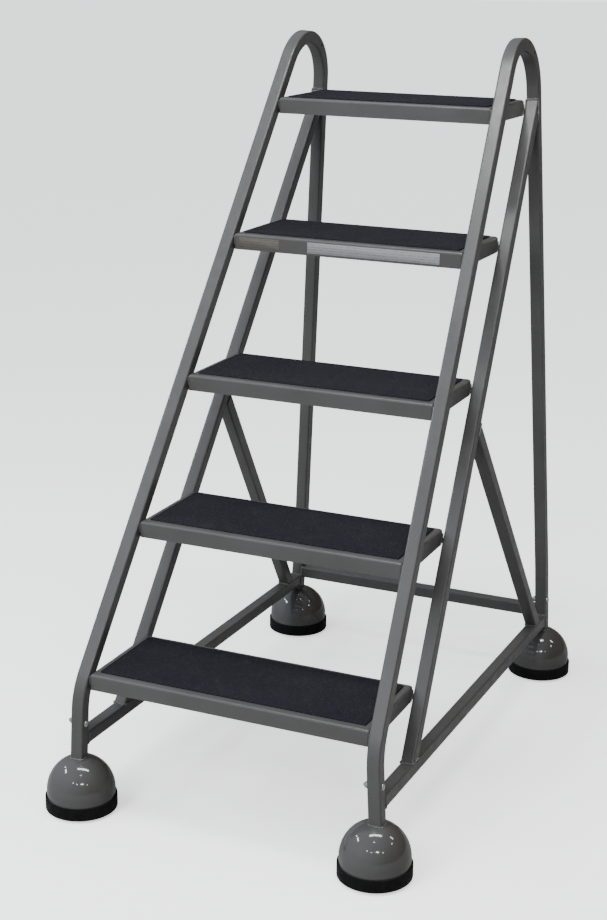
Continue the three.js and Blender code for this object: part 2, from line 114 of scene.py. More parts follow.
BASE_UP = Vector((0, (BASE_FRONT_Z - BASE_REAR_Z) / (2 * FOOT_Y), 1)).normalized()
RAIL_BACK = Vector((0, math.cos(RAKE_ANGLE), -math.sin(RAKE_ANGLE)))
REAR_LEG_FORWARD = Vector((0, -1, -REAR_SLOPE)).normalized()

# ---------------------------------------------------------------- camera

CAMERA_PLACE = Vector((1.26818, -3.00417, 1.57562))
CAMERA_RIGHT = Vector((0.91420314, 0.40505832, 0.01266357))
CAMERA_UP = Vector((-0.14199618, 0.29090039, 0.94615752))


def add_camera():
    data = bpy.data.cameras.new("camera")
    data.lens = 66.83
    data.sensor_width = 36
    data.shift_x = -0.0099
    data.shift_y = 0.0708
    data.clip_end = 50
    camera = bpy.data.objects.new("camera", data)
    back = CAMERA_RIGHT.cross(CAMERA_UP)
    turn = Matrix((CAMERA_RIGHT, CAMERA_UP, back)).transposed().to_4x4()
    camera.matrix_world = Matrix.Translation(CAMERA_PLACE) @ turn
    bpy.context.collection.objects.link(camera)
    bpy.context.scene.camera = camera


add_camera()

# ---------------------------------------------------------------- node materials


class Nodes:
    """A new node material, with short ways to add and join its nodes."""

    def __init__(self, name):
        self.material = bpy.data.materials.new(name)
        self.material.use_nodes = True
        self.tree = self.material.node_tree
        self.shader = self.tree.nodes["Principled BSDF"]
        coordinates = self.tree.nodes.new("ShaderNodeTexCoord")
        self.place = coordinates.outputs["Object"]

    def set(self, **sockets):
        for name, value in sockets.items():
            self.shader.inputs[name.replace("_", " ")].default_value = value

    def add(self, kind, inputs=None, **settings):
        node = self.tree.nodes.new(kind)
        for key, value in settings.items():
            setattr(node, key, value)
        for key, value in (inputs or {}).items():
            if isinstance(value, bpy.types.NodeSocket):
                self.tree.links.new(value, node.inputs[key])
            else:
                node.inputs[key].default_value = value
        return node

    def noise(self, scale, detail=3.0, roughness=0.5):
        return self.add(
            "ShaderNodeTexNoise",
            {"Vector": self.place, "Scale": scale, "Detail": detail, "Roughness": roughness},
        ).outputs["Fac"]

    def span(self, value, low, high, to_low, to_high):
        node = self.add(
            "ShaderNodeMapRange",
            {"Value": value, "From Min": low, "From Max": high, "To Min": to_low, "To Max": to_high},
        )
        return node.outputs["Result"]

    def mix(self, factor, first, second):
        node = self.add("ShaderNodeMix", data_type="RGBA")
        for socket, value in ((node.inputs[0], factor), (node.inputs[6], first), (node.inputs[7], second)):
            if isinstance(value, bpy.types.NodeSocket):
                self.tree.links.new(value, socket)
            else:
                socket.default_value = value
        return node.outputs[2]

    def bump(self, height, distance, strength=1.0, under=None):
        inputs = {"Height": height, "Distance": distance, "Strength": strength}
        if under:
            inputs["Normal"] = under
        return self.add("ShaderNodeBump", inputs).outputs["Normal"]

    def drive(self, **links):
        for name, socket in links.items():
            self.tree.links.new(socket, self.shader.inputs[name.replace("_", " ")])


def grey(value, warm=0.0):
    return (value * (1 + warm), value, value * (1 - warm), 1)


def enamel(name, tone, roughness, peel, scuffs):
    """Grey stoving enamel: cloudy tone, faint orange peel, and small pale scuffs and dust."""
    n = Nodes(name)
    cloud = n.noise(9, 4)
    base = n.mix(n.span(cloud, 0.3, 0.7, 0, 1), grey(tone * 0.90, 0.03), grey(tone * 1.08, 0.01))
    speck = n.noise(520, 2)
    base = n.mix(n.span(speck, 0.66, 0.74, 0, scuffs), base, grey(tone * 1.9, 0.01))
    scrape = n.noise(70, 8, 0.7)
    base = n.mix(n.span(scrape, 0.62, 0.72, 0, scuffs * 0.6), base, grey(tone * 1.5, 0.02))
    worn = n.span(n.noise(40, 6, 0.65), 0.35, 0.7, roughness * 0.82, roughness * 1.3)
    fine = n.bump(n.noise(420, 2), 0.00008 * peel, 0.6)
    broad = n.bump(n.noise(60, 3), 0.0004 * peel, 0.35, fine)
    n.drive(Base_Color=base, Roughness=worn, Normal=broad)
    n.set(Metallic=0.1, Coat_Weight=0.15, Coat_Roughness=0.15, IOR=1.45)
    return n.material


def weld_enamel():
    """The same enamel where it runs over a weld: mottled, a little glossier, and finely rough."""
    n = Nodes("weld_enamel")
    mottled = n.noise(300, 5, 0.6)
    base = n.mix(n.span(mottled, 0.35, 0.65, 0, 1), grey(0.05, 0.03), grey(0.13, 0.03))
    n.drive(Base_Color=base, Normal=n.bump(n.noise(900, 3), 0.0003, 0.5))
    n.set(Metallic=0.2, Roughness=0.3, Coat_Weight=0.4, Coat_Roughness=0.12)
    return n.material


def black_rubber():
    n = Nodes("black_rubber")
    dusty = n.noise(35, 6, 0.7)
    base = n.mix(n.span(dusty, 0.5, 0.75, 0, 0.5), grey(0.0015), grey(0.006, 0.04))
    worn = n.span(n.noise(90, 4), 0.3, 0.7, 0.5, 0.78)
    n.drive(Base_Color=base, Roughness=worn, Normal=n.bump(n.noise(700, 2), 0.0001, 0.5))
    n.set(Specular_IOR_Level=0.2)
    return n.material


def tread_grit():
    """Anti-slip grit bonded to the mat: fine dark grains with a blue-violet cast and a few bright ones."""
    n = Nodes("tread_grit")
    grains = n.add("ShaderNodeTexVoronoi", {"Vector": n.place, "Scale": 1150.0}, feature="F1")
    shade = n.add("ShaderNodeSeparateColor", {"Color": grains.outputs["Color"]}).outputs[0]
    deep, faded = (0.0050, 0.0047, 0.0078, 1), (0.0085, 0.0076, 0.0112, 1)
    dark = n.mix(n.span(n.noise(7, 3), 0.3, 0.7, 0, 1), deep, faded)
    body = n.mix(n.span(shade, 0, 1, 0, 0.55), dark, (0.018, 0.0165, 0.023, 1))
    glint = n.mix(n.span(shade, 0.93, 0.99, 0, 0.7), body, (0.07, 0.066, 0.08, 1))
    scuff = n.mix(n.span(n.noise(26, 8, 0.72), 0.56, 0.75, 0, 0.22), glint, (0.045, 0.043, 0.046, 1))
    coarse = n.bump(grains.outputs["Distance"], 0.0006, 0.7)
    n.drive(Base_Color=scuff, Normal=n.bump(n.noise(2600, 2), 0.0003, 0.5, coarse))
    n.set(Roughness=0.9, Specular_IOR_Level=0.14)
    return n.material


def zinc():
    n = Nodes("zinc")
    spangle = n.noise(160, 5, 0.6)
    base = n.mix(n.span(spangle, 0.3, 0.7, 0, 1), (0.46, 0.46, 0.45, 1), (0.66, 0.66, 0.63, 1))
    rough = n.span(n.noise(260, 4), 0.3, 0.7, 0.22, 0.42)
    n.drive(Base_Color=base, Roughness=rough, Normal=n.bump(n.noise(800, 2), 0.00006, 0.5))
    n.set(Metallic=1.0)
    return n.material


def spring_steel():
    n = Nodes("spring_steel")
    oil = n.noise(220, 4)
    base = n.mix(n.span(oil, 0.35, 0.65, 0, 1), (0.20, 0.20, 0.21, 1), (0.36, 0.36, 0.35, 1))
    n.drive(Base_Color=base, Roughness=n.span(oil, 0.3, 0.7, 0.25, 0.45))
    n.set(Metallic=1.0)
    return n.material


def moulded_plastic(name, dark, pale, roughness):
    n = Nodes(name)
    base = n.mix(n.span(n.noise(45, 5, 0.65), 0.35, 0.7, 0, 1), dark, pale)
    worn = n.span(n.noise(120, 3), 0.3, 0.7, roughness * 0.85, roughness * 1.15)
    n.drive(Base_Color=base, Roughness=worn, Normal=n.bump(n.noise(900, 2), 0.00005, 0.5))
    return n.material


def label_foil(name, tone, warm, band_tone, metallic):
    """A blank plate with faint level bands where a label has its fields."""
    n = Nodes(name)
    height = n.add("ShaderNodeSeparateXYZ", {"Vector": n.place}).outputs["Z"]
    stripes = n.add("ShaderNodeMath", {0: height, 1: 1 / (5.2 * MM)}, operation="MULTIPLY")
    wrapped = n.add("ShaderNodeMath", {0: stripes.outputs[0]}, operation="FRACT").outputs[0]
    grain = n.noise(380, 4, 0.7)
    field = n.mix(n.span(grain, 0.40, 0.62, 0, 0.75), grey(tone, warm), grey(band_tone, warm))
    base = n.mix(n.span(wrapped, 0.55, 0.60, 0, 1), grey(tone, warm), field)
    n.drive(Base_Color=base, Roughness=n.span(grain, 0.3, 0.7, 0.35, 0.5))
    n.set(Metallic=metallic)
    return n.material


MATERIALS = {
    "frame_enamel": enamel("frame_enamel", 0.062, 0.34, 1.0, 0.35),
    "dome_enamel": enamel("dome_enamel", 0.060, 0.07, 0.3, 0.22),
    "ring_rubber": black_rubber(),
    "tread_mat": tread_grit(),
    "zinc_steel": zinc(),
    "spring_steel": spring_steel(),
    "wheel_plastic": moulded_plastic("wheel_plastic", grey(0.022), grey(0.045, 0.02), 0.5),
    "bush_plastic": moulded_plastic("bush_plastic", grey(0.60, 0.04), grey(0.72, 0.05), 0.45),
    "weld": weld_enamel(),
    "pale_label": label_foil("pale_label", 0.26, -0.015, 0.13, 0.35),
    "brown_plate": label_foil("brown_plate", 0.10, 0.12, 0.055, 0.4),
}

# ---------------------------------------------------------------- mesh making

SHARP = math.radians(38)


def piece(name, bm, look, body="frame", replaces=(), matrix=None):
    """A finished bmesh becomes a named piece that rides on a body."""
    if matrix is not None:
        bm.transform(matrix)
    bmesh.ops.recalc_face_normals(bm, faces=bm.faces)
    mesh = bpy.data.meshes.new(name)
    bm.to_mesh(mesh)
    bm.free()
    mesh.polygons.foreach_set("use_smooth", [True] * len(mesh.polygons))
    mesh.set_sharp_from_angle(angle=SHARP)
    mesh.materials.append(MATERIALS[look])
    obj = bpy.data.objects.new(name, mesh)
    bpy.context.collection.objects.link(obj)
    if replaces:
        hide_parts(*replaces)
    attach(obj, body)
    return obj


def carve(bm, *cutters):
    """bm with the closed cutter meshes taken away."""
    def as_object(source, name):
        mesh = bpy.data.meshes.new(name)
        bmesh.ops.recalc_face_normals(source, faces=source.faces)
        source.to_mesh(mesh)
        source.free()
        obj = bpy.data.objects.new(name, mesh)
        bpy.context.collection.objects.link(obj)
        return obj

    blank = as_object(bm, "blank")
    tools = [as_object(cutter, "cutter") for cutter in cutters]
    for tool in tools:
        cut = blank.modifiers.new("cut", "BOOLEAN")
        cut.operation = "DIFFERENCE"
        cut.solver = "EXACT"
        cut.object = tool
    graph = bpy.context.evaluated_depsgraph_get()
    result = bmesh.new()
    result.from_mesh(blank.evaluated_get(graph).to_mesh())
    for obj in [blank, *tools]:
        mesh = obj.data
        bpy.data.objects.remove(obj)
        bpy.data.meshes.remove(mesh)
    return result


def skin(bm, loops, closed=False):
    """Quads between neighbouring loops of vertices; each loop closes on itself."""
    pairs = list(zip(loops, loops[1:] + loops[:1] if closed else loops[1:]))
    for first, second in pairs:
        count = len(first)
        for i in range(count):
            j = (i + 1) % count
            bm.faces.new((first[i], first[j], second[j], second[i]))


def rounded_rectangle(half_w, half_h, radius, steps=4, support=0.5 * MM):
    """Points round a rectangle with round corners, with one more point on each side of a corner."""
    points = []
    for cx, cy, start in ((1, 1, 0), (-1, 1, 90), (-1, -1, 180), (1, -1, 270)):
        centre = Vector((cx * (half_w - radius), cy * (half_h - radius)))
        arc = []
        for k in range(steps + 1):
            angle = math.radians(start + 90 * k / steps)
            arc.append(centre + radius * Vector((math.cos(angle), math.sin(angle))))
        before = Vector((math.sin(math.radians(start)), -math.cos(math.radians(start))))
        after = Vector((-math.cos(math.radians(start)), -math.sin(math.radians(start))))
        points += [arc[0] + before * support, *arc, arc[-1] + after * support]
    return points


TUBE_SECTION = rounded_rectangle(HALF, HALF, TUBE_ROUND)


def sweep(stations, section, across=X_AXIS, closed=False):
    """The section carried along (point, tangent) stations. across is the section's own level direction."""
    bm = bmesh.new()
    loops = []
    for point, tangent in stations:
        up = tangent.cross(across).normalized()
        loops.append([bm.verts.new(point + across * p.x + up * p.y) for p in section])
    skin(bm, loops, closed)
    if not closed:
        bm.faces.new(loops[0])
        bm.faces.new(loops[-1])
    return bm


def straight(start, end, across=X_AXIS):
    along = (end - start).normalized()
    return sweep([(start, along), (end, along)], TUBE_SECTION, across)


def trim(bm, point, outward):
    """Takes away what lies beyond a plane, and closes the cut."""
    cut = bmesh.ops.bisect_plane(
        bm, geom=bm.verts[:] + bm.edges[:] + bm.faces[:], dist=1e-7,
        plane_co=point, plane_no=outward, clear_outer=True,
    )
    edges = [e for e in cut["geom_cut"] if isinstance(e, bmesh.types.BMEdge)]
    bmesh.ops.holes_fill(bm, edges=edges, sides=0)
    return bm


def rounded_run(corners):
    """Stations along straight lines through (y, z, radius, steps) corners, with the inner ones rounded."""
    points = [Vector((y, z)) for y, z, _, _ in corners]
    legs = [(b - a).normalized() for a, b in zip(points, points[1:])]
    def station(p, t):
        return plane_point(*p), plane_point(*t)
    stations = [station(points[0], legs[0])]
    for i in range(1, len(points) - 1):
        _, _, radius, steps = corners[i]
        before, after = legs[i - 1], legs[i]
        turn = math.atan2(before.x * after.y - before.y * after.x, before.dot(after))
        start = points[i] - before * radius * math.tan(abs(turn) / 2)
        side = math.copysign(math.pi / 2, turn)
        spoke = Matrix.Rotation(side, 2) @ before * radius
        centre = start + spoke
        for k in range(steps + 1):
            spin = Matrix.Rotation(turn * k / steps, 2)
            stations.append(station(centre - spin @ spoke, spin @ before))
    stations.append(station(points[-1], legs[-1]))
    return stations


def lathe(profile, segments=96, axis="Z"):
    """(radius, height) pairs turned about an axis. The profile ends on it twice, or closes on itself."""
    bm = bmesh.new()
    spins = [2 * math.pi * k / segments for k in range(segments)]
    loops = []
    for radius, height in profile:
        if radius < 1e-7:
            loops.append([bm.verts.new((0, 0, height))])
        else:
            ring = [(radius * math.cos(a), radius * math.sin(a), height) for a in spins]
            loops.append([bm.verts.new(point) for point in ring])
    on_axis = len(loops[0]) == 1
    for first, second in zip(loops, loops[1:] if on_axis else loops[1:] + loops[:1]):
        for i in range(segments):
            j = (i + 1) % segments
            corners = [
                first[i % len(first)], first[j % len(first)],
                second[j % len(second)], second[i % len(second)],
            ]
            bm.faces.new(list(dict.fromkeys(corners)))
    if axis == "X":
        bm.transform(Matrix.Rotation(math.pi / 2, 4, "Y"))
    return bm


def softened(profile, radius, steps=3):
    """The profile with each of its corners off the axis rounded."""
    soft = []
    count = len(profile)
    on_axis = profile[0][0] < 1e-7
    for i, pair in enumerate(profile):
        here = Vector(pair)
        if on_axis and i in (0, count - 1):
            soft.append(tuple(here))
            continue
        before = Vector(profile[i - 1])
        after = Vector(profile[(i + 1) % count])
        reach = min(radius, (here - before).length * 0.45, (after - here).length * 0.45)
        start = here + (before - here).normalized() * reach
        end = here + (after - here).normalized() * reach
        for k in range(steps + 1):
            t = k / steps
            soft.append(tuple(start.lerp(here, t).lerp(here.lerp(end, t), t)))
    return soft


def bead(points, radius, seed, closed=True, sides=8, pitch=2.4 * MM):
    """A weld bead along a line of points, rippled at the welder's pitch and a little uneven."""
    draw = random.Random(seed)
    ring = points + points[:1] if closed else points
    fine = []
    for a, b in zip(ring, ring[1:]):
        count = max(1, round((b - a).length / (0.8 * MM)))
        fine += [a.lerp(b, k / count) for k in range(count)]
    if not closed:
        fine.append(ring[-1])
    bm = bmesh.new()
    loops = []
    travelled = 0
    sway = draw.uniform(0, 6.28)
    count = len(fine)
    for i, point in enumerate(fine):
        before = fine[i - 1] if closed or i else point
        after = fine[(i + 1) % count] if closed or i < count - 1 else point
        tangent = (after - before).normalized()
        level = tangent.orthogonal().normalized()
        if abs(tangent.dot(X_AXIS)) < 0.9:
            level = (X_AXIS - tangent * tangent.dot(X_AXIS)).normalized()
        else:
            level = (Z_AXIS - tangent * tangent.dot(Z_AXIS)).normalized()
        up = tangent.cross(level)
        travelled += (point - before).length if i else 0
        ripple = 1 + 0.13 * math.sin(2 * math.pi * travelled / pitch)
        ripple += 0.08 * math.sin(travelled * 290 + sway)
        from_end = min(i, count - 1 - i)
        taper = 1 if closed else min(1, 0.35 + 0.65 * math.sin(math.pi * min(0.5, from_end / 6)))
        r = radius * ripple * taper * draw.uniform(0.96, 1.04)
        loops.append([
            bm.verts.new(point + r * (level * math.cos(a) + up * math.sin(a)))
            for a in (2 * math.pi * k / sides for k in range(sides))
        ])
    skin(bm, loops, closed)
    if not closed:
        bm.faces.new(loops[0])
        bm.faces.new(loops[-1])
    return bm


def tube_end_outline(through, along, plane_at, plane_out, across=X_AXIS, proud=0.2 * MM):
    """The outline of a tube where a plane cuts it, a little proud of the tube."""
    up = along.cross(across).normalized()
    outline = []
    for p in rounded_rectangle(HALF + proud, HALF + proud, TUBE_ROUND, steps=3, support=0):
        start = through + across * p.x + up * p.y
        outline.append(start + along * ((plane_at - start).dot(plane_out) / along.dot(plane_out)))
    return outline


def cylinder_x(y, z, radius, half_length, segments=32):
    profile = [(0, -half_length), (radius, -half_length), (radius, half_length), (0, half_length)]
    bm = lathe(profile, segments, "X")
    bm.transform(Matrix.Translation((0, y, z)))
    return bm


# ---------------------------------------------------------------- side frames


def side_frame(name, side):
    run = rounded_run([
        (-FOOT_Y, LEG_END_Z, 0, 0),
        (-FOOT_Y, KNEE_Z, KNEE_RADIUS, 14),
        (PEAK_Y, PEAK_Z, PEAK_RADIUS, 44),
        (FOOT_Y, REAR_KNEE_Z, REAR_KNEE_RADIUS, 6),
        (FOOT_Y, LEG_END_Z, 0, 0),
    ])
    holes = [cylinder_x(*LOOP_HOLE, LOOP_HOLE_RADIUS, TUBE)]
    holes += [cylinder_x(e * FOOT_Y, BOLT_Z[e], 3.3 * MM, TUBE) for _, e in ENDS]
    bm = carve(sweep(run, TUBE_SECTION), *holes)
    piece(f"side_frame_{name}_enamelled", bm, "frame_enamel", replaces=[f"side_frame_{name}"],
          matrix=side_matrix(side))


def raked_rail(name, side):
    """The second raked tube, cut on the base tube below and on the rear leg above, with its welds."""
    along = plane_point(RAKE, 1).normalized()
    start, end = plane_point(tread_rail_y(0.1), 0.1), plane_point(tread_rail_y(1.35), 1.35)
    on_base = plane_point(0, base_tube_z(0)) + BASE_UP * (HALF + GAP)
    on_leg = plane_point(PEAK_Y, PEAK_Z) + REAR_LEG_FORWARD * (HALF + GAP)
    bm = trim(trim(straight(start, end), on_base, -BASE_UP), on_leg, -REAR_LEG_FORWARD)
    place = side_matrix(side)
    piece(f"tread_rail_{name}_enamelled", bm, "frame_enamel", replaces=[f"tread_rail_{name}"], matrix=place)
    low = tube_end_outline(start, along, on_base, BASE_UP)
    high = tube_end_outline(start, along, on_leg, REAR_LEG_FORWARD)
    piece(f"weld_rail_foot_{name}", bead(low, 2.0 * MM, 11 + side), "weld", matrix=place)
    piece(f"weld_rail_head_{name}", bead(high, 2.4 * MM, 21 + side), "weld", matrix=place)


def base_tube(name, side):
    along = plane_point(2 * FOOT_Y, BASE_REAR_Z - BASE_FRONT_Z).normalized()
    start, end = plane_point(-FOOT_Y, BASE_FRONT_Z), plane_point(FOOT_Y, BASE_REAR_Z)
    place = side_matrix(side)
    bm = straight(start, end)
    for label, e in ENDS:
        face = plane_point(e * (FOOT_Y - HALF - GAP), 0)
        outward = plane_point(e, 0)
        trim(bm, face, outward)
        weld = bead(tube_end_outline(start, along, face, outward), 1.8 * MM, 31 + 3 * e + side)
        piece(f"weld_base_{label}_{name}", weld, "weld", matrix=place)
    piece(f"base_tube_{name}_enamelled", bm, "frame_enamel", replaces=[f"base_tube_{name}"], matrix=place)


def brace(name, side):
    top, bottom = plane_point(*BRACE_TOP), plane_point(*BRACE_BOTTOM)
    along = (top - bottom).normalized()
    on_rail = plane_point(tread_rail_y(BRACE_TOP[1]), BRACE_TOP[1]) + RAIL_BACK * (HALF + GAP)
    on_base = plane_point(0, base_tube_z(0)) + BASE_UP * (HALF + GAP)
    bm = straight(bottom - along * 0.06, top + along * 0.06)
    trim(trim(bm, on_base, -BASE_UP), on_rail, -RAIL_BACK)
    place = side_matrix(side)
    piece(f"brace_{name}_enamelled", bm, "frame_enamel", replaces=[f"brace_{name}"], matrix=place)
    low = tube_end_outline(bottom, along, on_base, BASE_UP)
    high = tube_end_outline(bottom, along, on_rail, RAIL_BACK)
    piece(f"weld_brace_foot_{name}", bead(low, 1.8 * MM, 41 + side), "weld", matrix=place)
    piece(f"weld_brace_head_{name}", bead(high, 1.8 * MM, 51 + side), "weld", matrix=place)


def rear_cross_tube():
    start = Vector((-SIDE_PLANE_X, FOOT_Y, CROSS_Z))
    end = Vector((SIDE_PLANE_X, FOOT_Y, CROSS_Z))
    bm = straight(start, end, across=Z_AXIS)
    for name, side in SIDES:
        place = side_matrix(side)
        face = place @ Vector((-side * (HALF + GAP), 0, 0))
        outward = place.to_3x3() @ Vector((side, 0, 0))
        trim(bm, face, outward)
        outline = tube_end_outline(start, X_AXIS, face, outward, across=Z_AXIS)
        piece(f"weld_cross_{name}", bead(outline, 1.8 * MM, 61 + side), "weld")
    piece("rear_cross_tube_enamelled", bm, "frame_enamel", replaces=["rear_cross_tube"])


# ---------------------------------------------------------------- treads


def plate_loop(bm, half_w, half_d, radius, centre, z):
    points = rounded_rectangle(half_w, half_d, max(radius, 0.3 * MM), steps=5, support=0.4 * MM)
    return [bm.verts.new((centre.x + p.x, centre.y + p.y, z)) for p in points]


def tread_pan(i):
    """A folded tray: round top edges, straight flanges, open below."""
    low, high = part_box(f"tread_pan_{i}")
    centre = (low + high) / 2
    half_w, half_d = (high.x - low.x) / 2, (high.y - low.y) / 2
    sheet, bend = 2 * MM, 5 * MM
    outer_corner, inner_corner = 4 * MM, 2 * MM
    bend_steps = 6
    turns = [math.pi / 2 * k / bend_steps for k in range(bend_steps + 1)]
    flat = bend + 0.6 * MM

    def outside(inset, z):
        return plate_loop(bm, half_w - inset, half_d - inset, outer_corner, centre, z)

    def inside(inset, z):
        return plate_loop(bm, half_w - inset, half_d - inset, inner_corner, centre, z)

    bm = bmesh.new()
    loops = [outside(0, low.z), outside(0, high.z - bend - 0.5 * MM)]
    for a in turns:
        loops.append(outside(bend * (1 - math.cos(a)), high.z - bend * (1 - math.sin(a))))
    loops.append(outside(flat, high.z))
    top = loops[-1]
    inner = [inside(sheet, low.z)]
    for a in turns:
        inset = sheet + (bend - sheet) * (1 - math.cos(a))
        inner.append(inside(inset, high.z - sheet - (bend - sheet) * (1 - math.sin(a))))
    skin(bm, loops)
    skin(bm, inner)
    skin(bm, [loops[0], inner[0]])
    bm.faces.new(top)
    bm.faces.new(inner[-1])
    piece(f"tread_pan_{i}_folded", bm, "frame_enamel", replaces=[f"tread_pan_{i}"])


def tread_mat(i):
    """The bonded mat: rolled edge and slightly uneven outline."""
    low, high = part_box(f"tread_mat_{i}")
    centre = (low + high) / 2
    half_w, half_d = (high.x - low.x) / 2, (high.y - low.y) / 2
    edge = 0.8 * MM
    draw = random.Random(70 + i)
    bm = bmesh.new()
    loops = [plate_loop(bm, half_w, half_d, 2.5 * MM, centre, low.z)]
    loops.append(plate_loop(bm, half_w, half_d, 2.5 * MM, centre, high.z - edge))
    for k in range(1, 4):
        a = math.pi / 2 * k / 3
        inset = edge * (1 - math.cos(a))
        z = high.z - edge * (1 - math.sin(a))
        loops.append(plate_loop(bm, half_w - inset, half_d - inset, 2.5 * MM, centre, z))
    loops.append(plate_loop(bm, half_w - 2 * edge, half_d - 2 * edge, 2 * MM, centre, high.z))
    skin(bm, loops)
    bm.faces.new(loops[0])
    bm.faces.new(loops[-1])
    for loop in loops:
        for v in loop:
            v.co.x += draw.uniform(-0.15, 0.15) * MM
    piece(f"tread_mat_{i}_grit", bm, "tread_mat", replaces=[f"tread_mat_{i}"])


def tread_welds(i):
    """Short beads where a pan's ends meet the front rail and the tread rail."""
    low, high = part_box(f"tread_pan_{i}")
    rail_depth = TUBE / math.cos(RAKE_ANGLE)
    for name, side in SIDES:
        x = side * (high.x - 0.4 * MM)

        def weld(place, start, end, radius, seed):
            bm = bead([start, end], radius, seed + 10 * i + side, closed=False)
            piece(f"weld_tread_{i}_{place}_{name}", bm, "weld")

        front, back = low.y + rail_depth, high.y
        upper = Vector((x, front + 0.5 * MM, high.z - 6 * MM))
        lower = Vector((x, front - RAKE * (high.z - low.z) + 5 * MM, low.z + 2 * MM))
        weld("front", upper, lower, 1.5 * MM, 100)
        upper = Vector((x, low.y + 0.6 * MM, high.z - 4 * MM))
        lower = Vector((x, low.y + 0.6 * MM, low.z + 9 * MM))
        weld("face", upper, lower, 1.0 * MM, 150)
        upper = Vector((x, back - 0.3 * MM, high.z - 9 * MM))
        lower = Vector((x, back - 0.3 * MM, low.z + 2 * MM))
        weld("rear", upper, lower, 1.8 * MM, 200)
        toe = Vector((x, back + 0.2 * MM, high.z - 14 * MM))
        heel = Vector((x, back - 12 * MM, low.z - 0.3 * MM))
        weld("under", heel, toe.lerp(heel, 0.35), 1.4 * MM, 300)


def tread_labels():
    """Two blank plates on the front of the fourth tread, in place of its printed ones."""
    low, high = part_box("tread_pan_4")
    width = high.x - low.x
    thick = 0.35 * MM
    # Where each plate starts and ends, as a share of the tread's width, and its drop from the top edge.
    for name, look, left, right, drop in (
        ("plain_rating_plate", "brown_plate", 0.024, 0.205, 6.5 * MM),
        ("plain_notice_label", "pale_label", 0.332, 0.905, 5.6 * MM),
    ):
        x0, x1 = low.x + width * left, low.x + width * right
        z0, z1 = low.z + 4.2 * MM, high.z - drop
        bm = bmesh.new()
        middle = Vector(((x0 + x1) / 2, 0, (z0 + z1) / 2))
        corners = rounded_rectangle((x1 - x0) / 2, (z1 - z0) / 2, 1.2 * MM, steps=4, support=0)
        loops = []
        for inset, depth in ((0, 0.05 * MM), (0, thick * 0.7), (0.25 * MM, thick)):
            shrink_x = 1 - 2 * inset / (x1 - x0)
            shrink_z = 1 - 2 * inset / (z1 - z0)
            loops.append([
                bm.verts.new((middle.x + p.x * shrink_x, low.y - depth, middle.z + p.y * shrink_z))
                for p in corners
            ])
        skin(bm, loops)
        bm.faces.new(loops[0])
        bm.faces.new(loops[-1])
        piece(name, bm, look)


# ---------------------------------------------------------------- feet


def foot_place(end, side):
    return Matrix.Translation((side * FOOT_X, end * FOOT_Y, 0))


def dome(corner, end, side):
    """A pressed dome, pierced for the leg."""
    outer, sheet = 65.4 * MM, 2 * MM
    bottom, spring, apex = 13 * MM, 41 * MM, 108.5 * MM
    steps = 28
    def curve(radius, top):
        return [
            (0 if k == steps else radius * math.cos(math.pi / 2 * k / steps),
             spring + (top - spring) * math.sin(math.pi / 2 * k / steps))
            for k in range(steps + 1)
        ]
    inner = outer - sheet
    profile = [*reversed(curve(inner, apex - sheet)), (inner, bottom), (outer, bottom), *curve(outer, apex)]
    place = foot_place(end, side)
    lean = place.inverted() @ side_matrix(side)
    hole = sweep([(Vector((0, end * FOOT_Y, 0.085)), Z_AXIS), (Vector((0, end * FOOT_Y, 0.13)), Z_AXIS)],
                 rounded_rectangle(HALF + GAP, HALF + GAP, TUBE_ROUND))
    hole.transform(lean)
    bm = carve(lathe(profile, 112), hole)
    piece(f"dome_{corner}_pressed", bm, "dome_enamel", replaces=[f"dome_{corner}"], matrix=place)
    # The weld collar follows the leg's outline where it meets the curved dome.
    along = side_matrix(side).to_3x3() @ Z_AXIS
    foot = side_matrix(side) @ Vector((0, end * FOOT_Y, 0))
    collar = []
    for p in rounded_rectangle(HALF + 0.4 * MM, HALF + 0.4 * MM, TUBE_ROUND, steps=4, support=0):
        point = foot + Vector((p.x, p.y, 0)) + along * 0.101
        flat = Vector((point.x - side * FOOT_X, point.y - end * FOOT_Y))
        point.z = spring + (apex - spring) * math.sqrt(1 - (flat.length / outer) ** 2)
        collar.append(point)
    piece(f"weld_dome_{corner}", bead(collar, 1.7 * MM, 400 + 7 * end + side), "weld")


def bumper_ring(corner, end, side):
    outer, lip, seat = 68.6 * MM, 62.5 * MM, 65.7 * MM
    bottom, top, ledge = 5 * MM, 30 * MM, 12.7 * MM
    profile = [(lip, bottom), (outer, bottom), (outer, top), (seat, top), (seat, ledge), (lip, ledge)]
    bm = lathe(softened(profile, 1.1 * MM), 112)
    piece(f"bumper_ring_{corner}_moulded", bm, "ring_rubber", replaces=[f"bumper_ring_{corner}"],
          matrix=foot_place(end, side))


# ---------------------------------------------------------------- casters


def guide_bush(corner, end, side):
    low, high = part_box(f"guide_bush_{corner}")
    centre = (low + high) / 2
    flange_top, chamfer = low.z + 2.7 * MM, 1.5 * MM
    flange, body, tip = 12.5 * MM, 10.3 * MM, 9.4 * MM
    sizes = (
        (flange, low.z), (flange, flange_top), (body, flange_top), (body, high.z - chamfer), (tip, high.z),
    )
    middle = Vector((centre.x, centre.y, 0))
    bm = bmesh.new()
    loops = [plate_loop(bm, half, half, 2 * MM, middle, z) for half, z in sizes]
    skin(bm, loops)
    bm.faces.new(loops[0])
    bm.faces.new(loops[-1])
    bore_radius, past = 5.4 * MM, 0.01
    bottom, top = low.z - past, high.z + past
    bore = lathe([(0, bottom), (bore_radius, bottom), (bore_radius, top), (0, top)], 40)
    bore.transform(foot_place(end, side))
    piece(f"guide_bush_{corner}_nylon", carve(bm, bore), "bush_plastic", replaces=[f"guide_bush_{corner}"])


